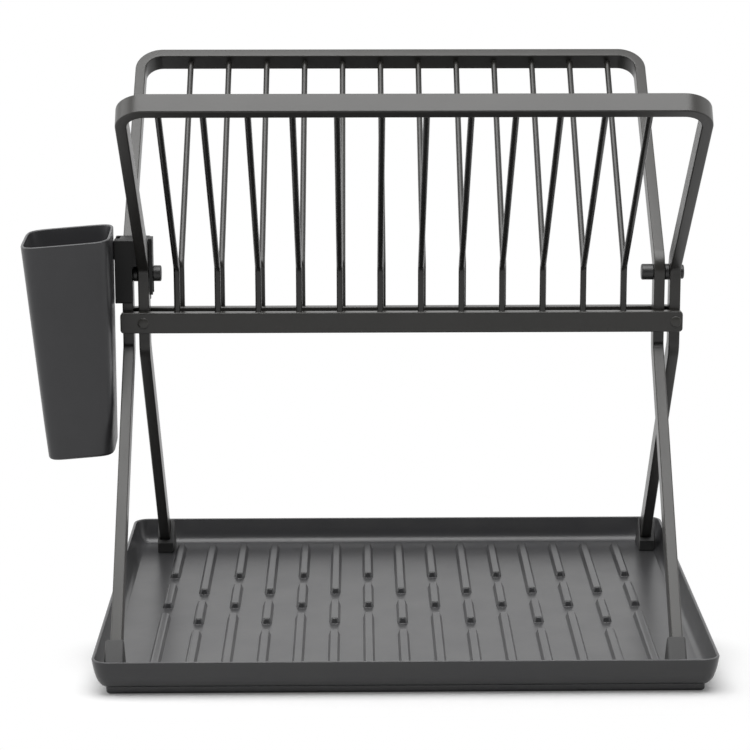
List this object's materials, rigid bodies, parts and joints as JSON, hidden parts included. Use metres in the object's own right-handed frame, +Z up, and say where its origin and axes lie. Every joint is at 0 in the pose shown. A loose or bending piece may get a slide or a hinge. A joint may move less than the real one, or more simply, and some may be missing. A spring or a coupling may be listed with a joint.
{
  "type": "folding dish rack",
  "caption": "Folding dish rack: crossed tube frames with plate wires stand in a ribbed drip tray, with a cutlery cup hung on one side.",
  "frame": {"origin": "middle of the drip tray's flat underside", "axes": "+X along the crossbars to the right as seen from the front, +Y to the back, +Z up"},
  "size_m": [0.4962, 0.3754, 0.4161],
  "materials": {
    "tray_plastic": "fine satin texture",
    "tube_steel": "satin powder coat",
    "wire_steel": "satin powder coat",
    "rivet_steel": "satin powder coat",
    "cap_plastic": "fine satin texture",
    "pin_plastic": "satin",
    "hanger_plastic": "satin",
    "cup_plastic": "fine satin texture"
  },
  "bodies": {
    "tray": {"drip_tray": "tray_plastic"},
    "pivot": {"left_pivot_pin": "pin_plastic", "right_pivot_pin": "pin_plastic", "left_pivot_spacer": "pin_plastic", "right_pivot_spacer": "pin_plastic"},
    "front": {"front_frame": "tube_steel", "front_crossbar": "tube_steel", "front_left_rivet": "rivet_steel", "front_right_rivet": "rivet_steel", "back_left_foot_cap": "cap_plastic", "back_right_foot_cap": "cap_plastic", "front_wire_01": "wire_steel", "front_wire_02": "wire_steel", "front_wire_03": "wire_steel", "front_wire_04": "wire_steel", "front_wire_05": "wire_steel", "front_wire_06": "wire_steel", "front_wire_07": "wire_steel", "front_wire_08": "wire_steel", "front_wire_09": "wire_steel", "front_wire_10": "wire_steel", "front_wire_11": "wire_steel", "front_wire_12": "wire_steel"},
    "back": {"back_frame": "tube_steel", "back_crossbar": "tube_steel", "back_left_rivet": "rivet_steel", "back_right_rivet": "rivet_steel", "front_left_foot_cap": "cap_plastic", "front_right_foot_cap": "cap_plastic", "back_wire_01": "wire_steel", "back_wire_02": "wire_steel", "back_wire_03": "wire_steel", "back_wire_04": "wire_steel", "back_wire_05": "wire_steel", "back_wire_06": "wire_steel", "back_wire_07": "wire_steel", "back_wire_08": "wire_steel", "back_wire_09": "wire_steel", "back_wire_10": "wire_steel", "back_wire_11": "wire_steel", "back_wire_12": "wire_steel"},
    "hanger": {"cup_hanger": "hanger_plastic"},
    "cup": {"cutlery_cup": "cup_plastic"}
  },
  "joints": [
    {"name": "rack_rise", "type": "slide", "parent": "tray", "child": "pivot", "axis": [0, 0, 1], "range_m": [0, 0.1542]},
    {"name": "front_fold", "type": "hinge", "parent": "pivot", "child": "front", "pos_m": [0, 0, 0.2659], "axis": [-1, 0, 0], "range_deg": [0, 47.6]},
    {"name": "back_fold", "type": "hinge", "parent": "pivot", "child": "back", "pos_m": [0, 0, 0.2659], "axis": [1, 0, 0], "range_deg": [0, 47.7]},
    {"name": "hanger_lift", "type": "slide", "parent": "pivot", "child": "hanger", "axis": [0, 0, 1], "range_m": [0, 0.2585]},
    {"name": "cup_lift", "type": "slide", "parent": "hanger", "child": "cup", "axis": [0, 0, 1], "range_m": [0, 0.06]}
  ],
  "couplings": [
    {"joint": "rack_rise", "follows": "front_fold", "m_per_rad": 0.185},
    {"joint": "back_fold", "follows": "front_fold", "ratio": 1},
    {"joint": "hanger_lift", "follows": "front_fold", "m_per_rad": 0.31}
  ]
}
